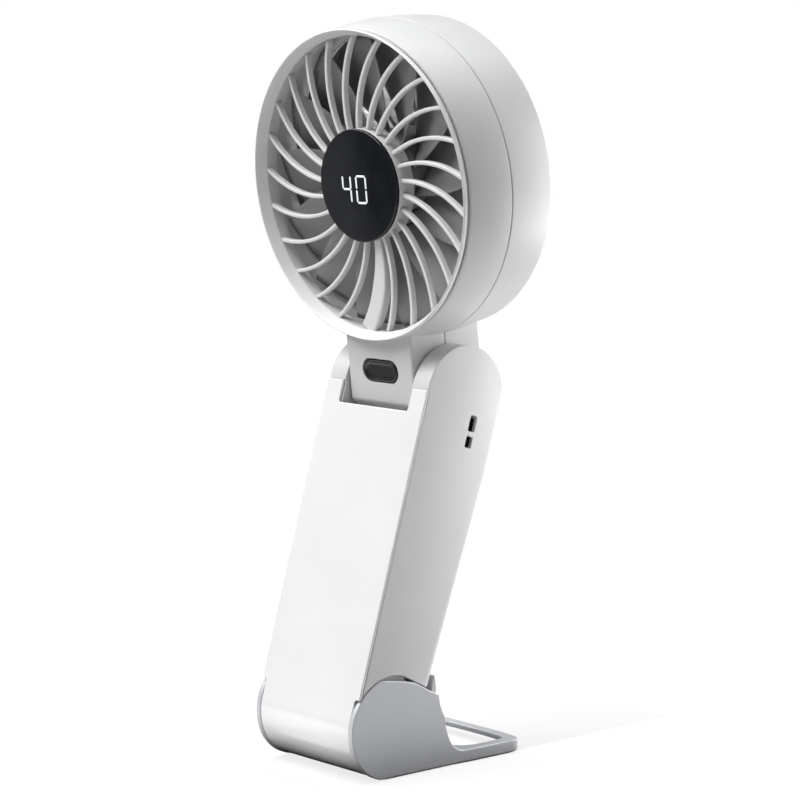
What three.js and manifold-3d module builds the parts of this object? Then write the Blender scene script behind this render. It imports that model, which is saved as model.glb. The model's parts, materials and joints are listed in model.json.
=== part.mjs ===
// Handheld folding fan, millimetres, +Z up, front facing -Y.
// The origin is the centre of the bounding box's bottom face, on the surface the fan stands on.
//
// Three rigid groups, each in a frame of its own:
//   base    a bracket with two cheeks and a hanging loop, which also stands the fan up
//   handle  local Z runs up the handle, local Y runs from its front plate to its back
//   head    local Z runs up the head, local Y runs from its front lip to its rear grille
import * as THREE from 'three';
import { mergeVertices } from 'three/addons/utils/BufferGeometryUtils.js';
import Module from 'manifold-3d';

const wasm = await Module();
wasm.setup();

// ---------------------------------------------------------------- driving dimensions

const GAP = 0.3; // between neighbouring pieces
const RAD = Math.PI / 180;

const LEAN = 16; // handle leans back, degrees
const HEAD_TIP = 7.4; // head looks down, degrees

const HANDLE_HALF = 21.2; // half the handle's width
const PIVOT_Y = -19.45; // base pivot
const CHEEK_R = 14.8; // base cheek discs, also the pivot's height
const BARREL_R = 14.5; // handle's barrel between the cheeks
const CHEEK_T = 1.8;
const BARREL_HALF = HANDLE_HALF - CHEEK_T - GAP;

const FRONT = -14.5; // front plate's outer face, from the pivot
const PLATE_T = 0.9;
const BACK = 17.2; // handle's back at the ears
const WALL = 2.0;
const NOTCH_U = 88.6; // bottom of the plate's notch, up the handle
const NOTCH_HALF = 14.8;
const LEDGE_U = 86.2; // the shell behind the plate is cut lower, clear of the tilted neck

const HINGE_U = 96.6; // head hinge, up the handle
const HINGE_M = 0.7; // head hinge, behind the pivot
const EAR_R = 14.8;
const EAR_IN = 14.3; // ears' inner faces
const NECK_HALF = 13.8;
const NECK_FRONT = 12.9; // neck's front face, ahead of the hinge
const NECK_BACK = 14.4;
const NECK_SWEEP = 14.9; // clear radius between the ears

const HEAD_UP = 62.2; // head centre above the hinge, in the head's frame
const HEAD_AHEAD = 16.4; // front lip's plane ahead of the hinge
const LIP_R = 44.45;
const HEAD_R = 46.2; // housings at their parting line
const PARTING = 17.0; // depth of the parting line behind the lip
const HEAD_DEPTH = 33.4;
const DUCT_R = 43.5;
const SKIN = 1.8; // housing walls
const HUB_R = 16.2;
const LIP_BACK = 1.4; // a dark groove runs round between the lip and the front housing
const HOUSING_FRONT = 2.9;
const RIB_DEPTH = 3.2; // front of the ribs
const RIB_PITCH = 14.4;
const RIB_SWEEP = 17.6;
const RIB_PHASE = 89.0; // first rib's rim end, degrees from +X
const SPOKE_SLOT = 13; // the place in the row that the wide spoke takes

const PIN_R = 2.5;
const SCREW_R = 0.75;
const SCREW_HEAD_R = 1.7;

const ROUND = 48; // sides of a large circle
const MIDDLE = 32;
const SMALL = 16; // sides of a small one
const TINY = 8;

// ---------------------------------------------------------------- materials

const finish = (color, roughness, metalness = 0) =>
  new THREE.MeshStandardMaterial({ color, roughness, metalness });

const shellWhite = finish(0xf0f0ef, 0.42);
const plateWhite = finish(0xf4f4f4, 0.22);
const grilleWhite = finish(0xeeeeee, 0.38);
const impellerGrey = finish(0x8a8c8e, 0.45);
const lensBlack = finish(0x202226, 0.12);
const buttonBlack = finish(0x1b1c1f, 0.4);
const rubberBlack = finish(0x161617, 0.85);
const steel = finish(0xb9bcc0, 0.3, 1);
const brass = finish(0xb8934a, 0.35, 1);
const copper = finish(0x9a5a34, 0.4, 1);
const ferrite = finish(0x2c2b2b, 0.6, 0.3);
const boardGreen = finish(0x1f5a3a, 0.55);
const foil = finish(0xc4c6c8, 0.35, 0.6);
const trayGrey = finish(0xc9c9c8, 0.55);

// ---------------------------------------------------------------- solids

function signedVolume(positions, triangles) {
  let sum = 0;
  const [a, b, c] = [new THREE.Vector3(), new THREE.Vector3(), new THREE.Vector3()];
  for (let i = 0; i < triangles.length; i += 3) {
    a.fromArray(positions, 3 * triangles[i]);
    b.fromArray(positions, 3 * triangles[i + 1]);
    c.fromArray(positions, 3 * triangles[i + 2]);
    sum += a.dot(b.cross(c));
  }
  return sum / 6;
}

// Turns a closed geometry into a solid: seams welded, collapsed triangles dropped, faces outward.
function solid(geometry) {
  const plain = geometry.clone();
  for (const name of Object.keys(plain.attributes)) {
    if (name !== 'position') plain.deleteAttribute(name);
  }
  const welded = mergeVertices(plain, 1e-4);
  const positions = welded.attributes.position.array;
  const triangles = [];
  for (let i = 0; i < welded.index.count; i += 3) {
    const [p, q, r] = [0, 1, 2].map((k) => welded.index.getX(i + k));
    if (p !== q && q !== r && r !== p) triangles.push(p, q, r);
  }
  if (signedVolume(positions, triangles) < 0) triangles.reverse();
  return new wasm.Manifold(new wasm.Mesh({
    numProp: 3,
    vertProperties: new Float32Array(positions),
    triVerts: new Uint32Array(triangles),
  }));
}

function geometryOf(body) {
  const mesh = body.getMesh();
  const geometry = new THREE.BufferGeometry();
  geometry.setAttribute('position', new THREE.BufferAttribute(mesh.vertProperties, 3));
  geometry.setIndex(new THREE.BufferAttribute(mesh.triVerts, 1));
  return geometry;
}

const join = (...bodies) => bodies.reduce((a, b) => a.add(b));
const cut = (body, ...tools) => tools.reduce((a, b) => a.subtract(b), body);

function extruded(shape, length, curveSegments) {
  return new THREE.ExtrudeGeometry(shape, { depth: length, bevelEnabled: false, curveSegments });
}

// An outline drawn in Y and Z, swept along X from x0 to x1.
function prismX(shape, x0, x1, curveSegments = 12) {
  const axes = new THREE.Matrix4().makeBasis(
    new THREE.Vector3(0, 1, 0), new THREE.Vector3(0, 0, 1), new THREE.Vector3(1, 0, 0));
  return solid(extruded(shape, x1 - x0, curveSegments).translate(0, 0, x0).applyMatrix4(axes));
}

// An outline drawn in X and Z, swept along Y from y0 to y1.
function prismY(shape, y0, y1, curveSegments = 12) {
  const axes = new THREE.Matrix4().makeBasis(
    new THREE.Vector3(1, 0, 0), new THREE.Vector3(0, 0, 1), new THREE.Vector3(0, -1, 0));
  return solid(extruded(shape, y1 - y0, curveSegments).translate(0, 0, -y1).applyMatrix4(axes));
}

// An outline drawn in X and Y, swept up Z from z0 to z1.
function prismZ(shape, z0, z1, curveSegments = 12) {
  return solid(extruded(shape, z1 - z0, curveSegments).translate(0, 0, z0));
}

function box(x0, x1, y0, y1, z0, z1) {
  const geometry = new THREE.BoxGeometry(x1 - x0, y1 - y0, z1 - z0);
  return solid(geometry.translate((x0 + x1) / 2, (y0 + y1) / 2, (z0 + z1) / 2));
}

// A profile of [radius, place along the axis] points, turned about Y.
function turnedY(profile, x = 0, z = 0, sides = ROUND) {
  const points = profile.map(([r, y]) => new THREE.Vector2(r, y));
  points.push(points[0].clone());
  return solid(new THREE.LatheGeometry(points, sides).translate(x, 0, z));
}

function turnedX(profile, y = 0, z = 0, sides = ROUND) {
  const points = profile.map(([r, x]) => new THREE.Vector2(r, x));
  points.push(points[0].clone());
  const geometry = new THREE.LatheGeometry(points, sides).rotateZ(-Math.PI / 2);
  return solid(geometry.translate(0, y, z));
}

const rod = (r, from, to) => [[0, from], [r, from], [r, to], [0, to]];
const tube = (inner, outer, from, to) => [[inner, from], [outer, from], [outer, to], [inner, to]];

const SIDES = [['left', -1], ['right', 1]];
const span = (sign, a, b) => [Math.min(a * sign, b * sign), Math.max(a * sign, b * sign)];

const rodY = (r, y0, y1, x, z, sides = SMALL) => turnedY(rod(r, y0, y1), x, z, sides);
const rodX = (r, x0, x1, y, z, sides = SMALL) => turnedX(rod(r, x0, x1), y, z, sides);

function roundedRectangle(x0, x1, y0, y1, r) {
  const shape = new THREE.Shape();
  shape.moveTo(x0 + r, y0);
  shape.lineTo(x1 - r, y0);
  shape.absarc(x1 - r, y0 + r, r, -Math.PI / 2, 0, false);
  shape.lineTo(x1, y1 - r);
  shape.absarc(x1 - r, y1 - r, r, 0, Math.PI / 2, false);
  shape.lineTo(x0 + r, y1);
  shape.absarc(x0 + r, y1 - r, r, Math.PI / 2, Math.PI, false);
  shape.lineTo(x0, y0 + r);
  shape.absarc(x0 + r, y0 + r, r, Math.PI, 1.5 * Math.PI, false);
  return shape;
}

// A slot outline: round ends, straight sides, along whichever way is longer.
function stadium(width, height, x, y) {
  const r = Math.min(width, height) / 2;
  const [dx, dy] = [width / 2 - r, height / 2 - r];
  const start = dx > dy ? -Math.PI / 2 : 0;
  const shape = new THREE.Shape();
  shape.absarc(x + dx, y + dy, r, start, start + Math.PI, false);
  shape.absarc(x - dx, y - dy, r, start + Math.PI, start + 2 * Math.PI, false);
  return shape;
}

// Joins closed rings of the same even number of points into one skin. An end is a strip of
// quads between the ring's two halves, so a long thin ring may bend.
function loft(rings) {
  const count = rings[0].length;
  const positions = rings.flat().flatMap((p) => [p.x, p.y, p.z]);
  const index = [];
  for (let i = 0; i < rings.length - 1; i++) {
    for (let j = 0; j < count; j++) {
      const a = i * count + j;
      const b = i * count + ((j + 1) % count);
      index.push(a, b, b + count, a, b + count, a + count);
    }
  }
  const last = (rings.length - 1) * count;
  for (let j = 0; j < count / 2 - 1; j++) {
    const [a, b, c, d] = [j, j + 1, count - 2 - j, count - 1 - j];
    index.push(a, c, b, a, d, c);
    index.push(last + a, last + b, last + c, last + a, last + c, last + d);
  }
  const geometry = new THREE.BufferGeometry();
  geometry.setAttribute('position', new THREE.Float32BufferAttribute(positions, 3));
  geometry.setIndex(index);
  return solid(geometry);
}

// ---------------------------------------------------------------- assembly frames

const fan = new THREE.Group();
const base = new THREE.Group();
const handle = new THREE.Group();
const head = new THREE.Group();
fan.add(base, handle, head);

base.position.set(0, PIVOT_Y, CHEEK_R);
handle.position.copy(base.position);
handle.rotation.x = -LEAN * RAD;
handle.updateMatrix();
const hinge = new THREE.Vector3(0, HINGE_M, HINGE_U).applyMatrix4(handle.matrix);
head.rotation.x = HEAD_TIP * RAD;
const fromHinge = new THREE.Vector3(0, -HEAD_AHEAD, HEAD_UP).applyEuler(head.rotation);
head.position.copy(hinge).add(fromHinge);

function place(group, name, body, material) {
  const mesh = new THREE.Mesh(geometryOf(body), material);
  mesh.name = name;
  group.add(mesh);
}

// ---------------------------------------------------------------- base

const LOOP_Z = -CHEEK_R + 4.0; // top of the loop
const LOOP_BACK = 53.6;
const LOOP_HALF = 21.8;
const BAR_UNDER = LOOP_Z - 1.6; // underside of the loop's thin rear bar
const STEP = 0.5; // shadow step round the foot
const WEB_FRONT_R = BARREL_R + 0.6; // web's hollow face behind the barrel

// Side outline of the bracket: disc in front, then the cheek's rear edge, then the loop at the floor.
function bracketOutline() {
  const shape = new THREE.Shape();
  shape.moveTo(0, -CHEEK_R);
  shape.lineTo(47.8, -CHEEK_R);
  shape.quadraticCurveTo(51.2, -CHEEK_R + 0.3, LOOP_BACK - 0.2, BAR_UNDER);
  shape.lineTo(LOOP_BACK, BAR_UNDER + 0.5);
  shape.lineTo(LOOP_BACK - 0.5, LOOP_Z);
  shape.lineTo(29.5, LOOP_Z);
  shape.quadraticCurveTo(22.2, LOOP_Z + 0.4, 20.9, 0.4);
  shape.quadraticCurveTo(18.9, 3.6, 18.65, 7.1);
  shape.lineTo(15.4, 8.6);
  shape.lineTo(9.2, 11.9);
  shape.quadraticCurveTo(5.2, 12.9, -0.1, 13.7);
  const start = 105 * RAD;
  shape.lineTo(CHEEK_R * Math.cos(start), CHEEK_R * Math.sin(start));
  shape.absarc(0, 0, CHEEK_R, start, 1.5 * Math.PI, false);
  return shape;
}

const WEB_HALF = 17.8;

// Side outline of the web's upper part, whose lip stops the handle from leaning further back.
function stopLip() {
  const points = [
    [14.6, 3.0], [18.2, 6.9], [18.45, 7.45], [19.4, 12.0], [19.9, 12.0], [20.7, 8.0], [20.3, 4.0],
    [20.9, 0.4], [18.0, -2.0],
  ];
  return new THREE.Shape(points.map(([y, z]) => new THREE.Vector2(y, z)));
}

// Plan outline: parallel cheeks that widen a little into the loop's bowed rear bar.
function bracketPlan(inset) {
  const shape = new THREE.Shape();
  const [half, wide, back] = [HANDLE_HALF - inset, LOOP_HALF - inset, LOOP_BACK - inset];
  shape.moveTo(-half, -20);
  shape.lineTo(half, -20);
  shape.lineTo(half, 24);
  shape.lineTo(wide, back - 5.4);
  shape.quadraticCurveTo(wide, back - 1.4, 17, back - 1.0);
  shape.quadraticCurveTo(0, back + 1.0, -17, back - 1.0);
  shape.quadraticCurveTo(-wide, back - 1.4, -wide, back - 5.4);
  shape.lineTo(-half, 24);
  shape.closePath();
  return shape;
}

function loopOpening() {
  const shape = new THREE.Shape();
  shape.moveTo(-9, 29.2);
  shape.lineTo(9, 29.2);
  shape.quadraticCurveTo(17.4, 29.8, 17.8, 37);
  shape.lineTo(17.8, 45.6);
  shape.quadraticCurveTo(17.8, 48.9, 14, 49.3);
  shape.quadraticCurveTo(0, 50.4, -14, 49.3);
  shape.quadraticCurveTo(-17.8, 48.9, -17.8, 45.6);
  shape.lineTo(-17.8, 37);
  shape.quadraticCurveTo(-17.4, 29.8, -9, 29.2);
  return shape;
}

const PAD_T = 1.0;
const PAD_TOP = -CHEEK_R + PAD_T;
const padPlans = {
  base_pad_front: [-14, 14, 15.6, 27.2, 2],
  base_pad_left: [-20.2, -18.6, 32, 45, 0.7],
  base_pad_right: [18.6, 20.2, 32, 45, 0.7],
};

function baseBracket() {
  const blank = prismX(bracketOutline(), -LOOP_HALF - 1, LOOP_HALF + 1, 6)
    .intersect(prismZ(bracketPlan(0), -30, 30, 6));
  const barrelRoom = join(
    rodX(WEB_FRONT_R, -BARREL_HALF - GAP, BARREL_HALF + GAP, 0, 0, ROUND),
    box(-BARREL_HALF - GAP, BARREL_HALF + GAP, -20, 7, -20, 20));
  const step = box(-40, 40, -30, 70, -20, STEP - CHEEK_R)
    .subtract(prismZ(bracketPlan(0.8), -30, 30, 6));
  const underBar = box(-WEB_HALF, WEB_HALF, 46, 60, -20, BAR_UNDER);
  const pinHoles = rodX(PIN_R + GAP, -20.6, 20.6, 0, 0);
  const pockets = Object.values(padPlans).map(([x0, x1, y0, y1, r]) => prismZ(
    roundedRectangle(x0 - GAP, x1 + GAP, y0 - GAP, y1 + GAP, r + GAP), -20, PAD_TOP + GAP, 3));
  return cut(join(blank, prismX(stopLip(), -WEB_HALF, WEB_HALF)), barrelRoom, pinHoles, step, underBar,
    prismZ(loopOpening(), -20, 20, 6), ...pockets);
}

place(base, 'base_bracket', baseBracket(), shellWhite);
for (const [name, plan] of Object.entries(padPlans)) {
  place(base, name, prismZ(roundedRectangle(...plan), -CHEEK_R, PAD_TOP, 3), rubberBlack);
}
place(base, 'base_pivot_pin', rodX(PIN_R, -20.3, 20.3, 0, 0), steel);
for (const [side, sign] of SIDES) {
  const ring = turnedX(tube(PIN_R + GAP, 5.7, ...span(sign, 18.4, 19.1)), 0, 0, SMALL);
  place(base, `pivot_washer_${side}`, ring, steel);
}

// ---------------------------------------------------------------- handle

const TAPER_U = 78; // the back runs parallel above this height and draws in below it
const handleBack = (u) => BACK - 0.035 * Math.max(0, TAPER_U - u);
const cornerRadius = (u) => 1.6 + 0.04 * Math.max(0, TAPER_U - u);

// A level section of the handle, square in front and round at its back corners.
function handleSection(u, inset) {
  const [half, back] = [HANDLE_HALF - inset, handleBack(u) - inset];
  const r = Math.max(cornerRadius(u) - inset, 0.5);
  const points = [new THREE.Vector3(-half, -20, u), new THREE.Vector3(half, -20, u)];
  const steps = 3;
  for (let i = 0; i <= steps; i++) {
    const a = (i / steps) * Math.PI / 2;
    points.push(new THREE.Vector3(half - r + r * Math.cos(a), back - r + r * Math.sin(a), u));
  }
  for (let i = 0; i <= steps; i++) {
    const a = (i / steps + 1) * Math.PI / 2;
    points.push(new THREE.Vector3(r - half + r * Math.cos(a), back - r + r * Math.sin(a), u));
  }
  return points;
}

const handleLoft = (inset, ...heights) => loft(heights.map((u) => handleSection(u, inset)));

const SHELL_FRONT = FRONT + PLATE_T + GAP;
const SIDE_CLEAR = CHEEK_R + GAP; // the sides end this far from the pivot, over the cheeks

function handleOutline() {
  const shape = new THREE.Shape();
  const shoulder = HINGE_U - 1.3;
  const frontU = Math.sqrt(SIDE_CLEAR ** 2 - SHELL_FRONT ** 2);
  shape.moveTo(SHELL_FRONT, frontU);
  shape.lineTo(SHELL_FRONT, shoulder);
  const lip = Math.sqrt(EAR_R ** 2 - 1.3 ** 2);
  shape.lineTo(HINGE_M - lip, shoulder);
  shape.absarc(HINGE_M, HINGE_U, EAR_R, Math.atan2(-1.3, -lip) + 2 * Math.PI, Math.PI / 2, true);
  shape.absellipse(HINGE_M, HINGE_U, BACK - HINGE_M, EAR_R, Math.PI / 2, 0, true);
  shape.lineTo(BACK, 12.42);
  shape.lineTo(1.2, Math.sqrt(SIDE_CLEAR ** 2 - 1.2 ** 2));
  const from = Math.acos(1.2 / SIDE_CLEAR);
  shape.absarc(0, 0, SIDE_CLEAR, from, Math.atan2(frontU, SHELL_FRONT), false);
  return shape;
}

const WRAP_END = 290; // the plate's wrap ends here, round the barrel from the back

// Room for the front plate and its wrap, cut out of the barrel.
function wrapRoom() {
  const shape = new THREE.Shape();
  const end = (WRAP_END + 2) * RAD;
  shape.moveTo(SHELL_FRONT, 20);
  shape.lineTo(SHELL_FRONT, 0);
  shape.absarc(0, 0, -SHELL_FRONT, Math.PI, end, false);
  shape.absarc(0, 0, 20, end, Math.PI, true);
  shape.lineTo(-20, 20);
  shape.closePath();
  return prismX(shape, -30, 30, 12);
}

// Room for the neck: a round saddle, open to the back and cut level at the front.
function neckRoom() {
  const shape = new THREE.Shape();
  const drop = LEDGE_U - HINGE_U;
  const start = Math.atan2(drop, -Math.sqrt(NECK_SWEEP ** 2 - drop ** 2)) + 2 * Math.PI;
  shape.absarc(HINGE_M, HINGE_U, NECK_SWEEP, start, 1.5 * Math.PI, false);
  shape.lineTo(30, HINGE_U - NECK_SWEEP);
  shape.lineTo(30, 130);
  shape.lineTo(-30, 130);
  shape.lineTo(-30, LEDGE_U);
  shape.closePath();
  return prismX(shape, -EAR_IN, EAR_IN, 6);
}

// Lanyard eye in the right ear: a slot with a bar across it, and room behind the bar for a loop.
function lanyardEye() {
  const slot = prismX(roundedRectangle(5.05, 7.75, 82.65, 92.05, 0.6), 16.4, 25, 3);
  const bar = box(19.8, 20.9, 4, 9, 85.9, 87.5);
  return join(cut(slot, bar), box(16.4, 19.4, 5.05, 10.4, 83.0, 91.7));
}

const USB_U = 23;
const BOSS_X = 16.2;
const BOSS_U = [27, 71];
const trayBosses = BOSS_U.flatMap((u) => [-BOSS_X, BOSS_X].map((x) => [x, u]));
const BOSS_FRONT = -1.0;

function handleShell() {
  const outer = handleLoft(0, 4, TAPER_U, 120).intersect(prismX(handleOutline(), -30, 30, 8));
  const barrel = rodX(BARREL_R, -BARREL_HALF, BARREL_HALF, 0, 0, ROUND);
  const root = box(-BARREL_HALF, BARREL_HALF, SHELL_FRONT, 3, 6, 16);
  const room = handleLoft(WALL, 17.2, TAPER_U, 79.4);
  const bosses = trayBosses.map(([x, u]) => rodY(2.5, BOSS_FRONT, handleBack(u) - 1, x, u, 12));
  const pilots = trayBosses.map(([x, u]) => rodY(SCREW_R + GAP, -3, 7, x, u, TINY));
  const port = prismY(stadium(9.6, 3.8, 0, USB_U), 8, 20, 4);
  const sides = SIDES.flatMap(([, sign]) => [
    rodX(PIN_R + GAP, ...span(sign, 10, 20), HINGE_M, HINGE_U),
    rodX(5.6, ...span(sign, EAR_IN - 1, 15.3), HINGE_M, HINGE_U),
    rodX(6.0, ...span(sign, 18.1, 20), 0, 0),
  ]);
  const hollow = room.subtract(join(...bosses));
  return cut(join(cut(outer, hollow), cut(barrel, wrapRoom()), root), neckRoom(), lanyardEye(), port,
    rodX(PIN_R + GAP, -30, 30, 0, 0), ...pilots, ...sides);
}

function frontPlate() {
  const shape = new THREE.Shape();
  const top = HINGE_U - 1.3 - GAP;
  const end = WRAP_END * RAD;
  shape.moveTo(FRONT, top);
  shape.lineTo(FRONT, 0);
  shape.absarc(0, 0, BARREL_R, Math.PI, end, false);
  shape.absarc(0, 0, BARREL_R - PLATE_T, end, Math.PI, true);
  shape.lineTo(FRONT + PLATE_T, top);
  const sheet = prismX(shape, -HANDLE_HALF, HANDLE_HALF, 12);
  const cheekRoom = [[-30, -BARREL_HALF], [BARREL_HALF, 30]]
    .map(([a, b]) => rodX(SIDE_CLEAR, a, b, 0, 0, ROUND));
  return cut(sheet, ...cheekRoom, box(-NOTCH_HALF, NOTCH_HALF, -30, 0, NOTCH_U, 120));
}

const TRAY_BACK = BOSS_FRONT - GAP;
const TRAY_FRONT = TRAY_BACK - 1.6;
const trayPosts = [[-9, 36], [9, 36], [-9, 66], [9, 66]];

function batteryTray() {
  const sheet = prismY(roundedRectangle(-18, 18, 19, 78, 2), TRAY_FRONT, TRAY_BACK, 3);
  const holes = trayBosses.map(([x, u]) => rodY(1.1, -10, 5, x, u, TINY));
  const window = prismY(roundedRectangle(-7, 7, 42, 60, 2), -10, 5, 3);
  const posts = trayPosts.map(([x, u]) => rodY(1.6, TRAY_FRONT - 1.6, TRAY_FRONT + 0.4, x, u, TINY));
  return join(cut(sheet, window, ...holes), ...posts);
}

function usbReceptacle() {
  const back = handleBack(USB_U) - 0.4;
  const outer = prismY(stadium(9.0, 3.2, 0, USB_U), 5.9, back, 4);
  const inner = prismY(stadium(8.4, 2.6, 0, USB_U), 6.9, back + 1, 4);
  const tongue = box(-3.3, 3.3, 6.5, back - 0.8, USB_U - 0.35, USB_U + 0.35);
  return join(cut(outer, inner), tongue);
}

function panScrew(x, z, headFrom, headTo, tip) {
  return turnedY([
    [0, tip], [SCREW_R, tip], [SCREW_R, headFrom], [SCREW_HEAD_R, headFrom],
    [SCREW_HEAD_R, headTo], [0, headTo],
  ], x, z, 10);
}

place(handle, 'handle_shell', handleShell(), shellWhite);
place(handle, 'front_plate', frontPlate(), plateWhite);
place(handle, 'battery_cell',
  prismY(roundedRectangle(-13.5, 13.5, 30, 74.5, 2.5), BOSS_FRONT + 0.2, 9.0, 4), foil);
place(handle, 'battery_guard_board', box(-10, 10, 0.5, 8.5, 75.4, 76.6), boardGreen);
place(handle, 'battery_tray', batteryTray(), trayGrey);
place(handle, 'control_board',
  box(-13, 13, TRAY_FRONT - 3.4, TRAY_FRONT - 1.9, 32, 70), boardGreen);
place(handle, 'charge_board', box(-8.5, 8.5, 4.0, 5.6, 18.2, 28), boardGreen);
place(handle, 'usb_receptacle', usbReceptacle(), steel);
trayBosses.forEach(([x, u], i) => {
  const screw = panScrew(x, u, TRAY_FRONT - GAP, TRAY_FRONT - GAP - 1.0, 6.0);
  place(handle, `tray_screw_${i + 1}`, screw, steel);
});
for (const [side, sign] of SIDES) {
  place(handle, `hinge_pin_${side}`, rodX(PIN_R, ...span(sign, 9.0, 19.7), HINGE_M, HINGE_U), steel);
  const ring = turnedX(tube(PIN_R + GAP, 5.2, ...span(sign, 14.25, 15.0)), HINGE_M, HINGE_U, SMALL);
  place(handle, `hinge_washer_${side}`, ring, brass);
}

// ---------------------------------------------------------------- head housings

const HINGE_Y = HEAD_AHEAD; // the hinge in the head's frame
const HINGE_Z = -HEAD_UP;
const NECK_TOP = -41; // the neck runs into the ring above this
const BUTTON_Z = -54;
const neckFrontY = HINGE_Y - NECK_FRONT;
const neckBackY = HINGE_Y + NECK_BACK;

const NECK_ROUND = 13.0; // radius of the neck's round underside
const NECK_EDGE = 14.2; // the front face's lower edge, degrees round from level

function neckOutline(inset, top) {
  const shape = new THREE.Shape();
  const [front, r] = [neckFrontY + inset, NECK_ROUND - inset];
  const middle = neckBackY - NECK_ROUND;
  shape.moveTo(front, top);
  shape.lineTo(front, HINGE_Z - 1.2);
  shape.absarc(middle, HINGE_Z, r, Math.PI + NECK_EDGE * RAD, 2 * Math.PI, false);
  shape.lineTo(neckBackY - inset, top);
  shape.closePath();
  return shape;
}

const neckScrews = [[-9.4, -49.2], [9.4, -49.2], [0, -70.6]];

// The hollow neck with its screw bosses, both halves together.
function neckShell(bossR, duct) {
  const blank = prismX(neckOutline(0, NECK_TOP), -NECK_HALF, NECK_HALF, 8);
  const room = prismX(neckOutline(SKIN, -46.6), SKIN - NECK_HALF, NECK_HALF - SKIN, 8);
  const bosses = neckScrews.map(([x, z]) => rodY(bossR, 0, 40, x, z, 12));
  return cut(blank, cut(room, ...bosses), duct);
}

const frontSide = box(-60, 60, -10, PARTING - GAP / 2, -90, 60);
const rearSide = box(-60, 60, PARTING + GAP / 2, 60, -90, 60);

function bushHoles() {
  return [[-14.5, -11.5], [11.5, 14.5]].map(([a, b]) => rodX(4.3, a, b, HINGE_Y, HINGE_Z, SMALL));
}

const wireHole = () => box(-5, 5, 10, 24, -48.5, -42);

function frontHousing() {
  const ring = turnedY([
    [DUCT_R, HOUSING_FRONT], [44.4, HOUSING_FRONT], [45.5, 9], [HEAD_R, PARTING + 1],
    [HEAD_R - SKIN, PARTING + 1], [DUCT_R, 8],
  ], 0, 0, ROUND);
  const duct = rodY(DUCT_R, -5, 40, 0, 0, ROUND);
  const skin = neckShell(2.3, duct);
  const pilots = neckScrews.map(([x, z]) => rodY(SCREW_R + GAP, 9.4, 20, x, z, TINY));
  const buttonHole = prismY(stadium(15.2, 6.8, 0, BUTTON_Z), 0, 8, 4);
  return cut(join(ring, skin).intersect(frontSide),
    buttonHole, wireHole(), ...pilots, ...bushHoles());
}

function rearHousing() {
  const ring = turnedY([
    [HEAD_R - SKIN, PARTING - 1], [HEAD_R, PARTING - 1], [46.0, 24], [45.3, 32.2],
    [44.6, HEAD_DEPTH], [DUCT_R, HEAD_DEPTH], [DUCT_R, 24],
  ], 0, 0, ROUND);
  const duct = rodY(DUCT_R, -5, 40, 0, 0, ROUND);
  const skin = neckShell(2.9, duct);
  const shafts = neckScrews.map(([x, z]) => rodY(1.1, 10, 30, x, z, TINY));
  const sinks = neckScrews.map(([x, z]) => rodY(2.0, 24, 40, x, z, 12));
  return cut(join(ring, skin).intersect(rearSide),
    wireHole(), ...shafts, ...sinks, ...bushHoles());
}

// ---------------------------------------------------------------- grilles

const polar = (r, degrees) => [r * Math.cos(degrees * RAD), r * Math.sin(degrees * RAD)];

// A curved rib's centre line: it leans one way and bends more towards the rim.
function ribLine(rimAngle, steps) {
  const [from, to] = [HUB_R - 0.6, 42.7];
  return Array.from({ length: steps + 1 }, (_, i) => {
    const t = i / steps;
    return polar(from + (to - from) * t, rimAngle + RIB_SWEEP * (1 - t ** 1.36));
  });
}

function ribbon(line, widthAt) {
  const left = [];
  const right = [];
  line.forEach(([x, y], i) => {
    const [ax, ay] = line[Math.max(i - 1, 0)];
    const [bx, by] = line[Math.min(i + 1, line.length - 1)];
    const length = Math.hypot(bx - ax, by - ay);
    const half = widthAt(i / (line.length - 1)) / 2;
    const [nx, ny] = [-(by - ay) / length * half, (bx - ax) / length * half];
    left.push(new THREE.Vector2(x + nx, y + ny));
    right.unshift(new THREE.Vector2(x - nx, y - ny));
  });
  return new THREE.Shape([...left, ...right]);
}

const LENS_BACK = 2.3;

function frontGrille() {
  const lip = turnedY([
    [43.9, 0.3], [44.15, 0], [LIP_R, 0.3], [LIP_R, LIP_BACK], [43.2, LIP_BACK + 0.1], [43.2, 7],
    [42.35, 7], [42.35, RIB_DEPTH],
  ], 0, 0, ROUND);
  const hub = turnedY([
    [14.6, LENS_BACK + GAP], [HUB_R, LENS_BACK + GAP], [HUB_R, 8.2], [0, 8.2], [0, 6.8], [14.6, 6.8],
  ], 0, 0, MIDDLE);
  const ribs = [];
  for (let i = 0; i < 360 / RIB_PITCH; i++) {
    const angle = RIB_PHASE - i * RIB_PITCH;
    const spoke = i === SPOKE_SLOT;
    const line = ribLine(spoke ? angle + 2 : angle, 4);
    const outline = ribbon(line, spoke ? (t) => 2.6 + 2.6 * Math.min(1, 2 * t) : () => 1.1);
    ribs.push(prismY(outline, spoke ? RIB_DEPTH + 0.5 : RIB_DEPTH, spoke ? 6.4 : 5));
  }
  const inLip = rodY(42.8, 0, 20, 0, 0, ROUND);
  return join(lip, hub, join(...ribs).intersect(inLip));
}

const REAR_HUB_R = 16.5;
const REAR_RIBS = 32;
const REAR_FROM = 30.4;
const REAR_SIDES = 40;
const motorScrews = [90, 210, 330].map((a) => polar(10, a));

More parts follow.
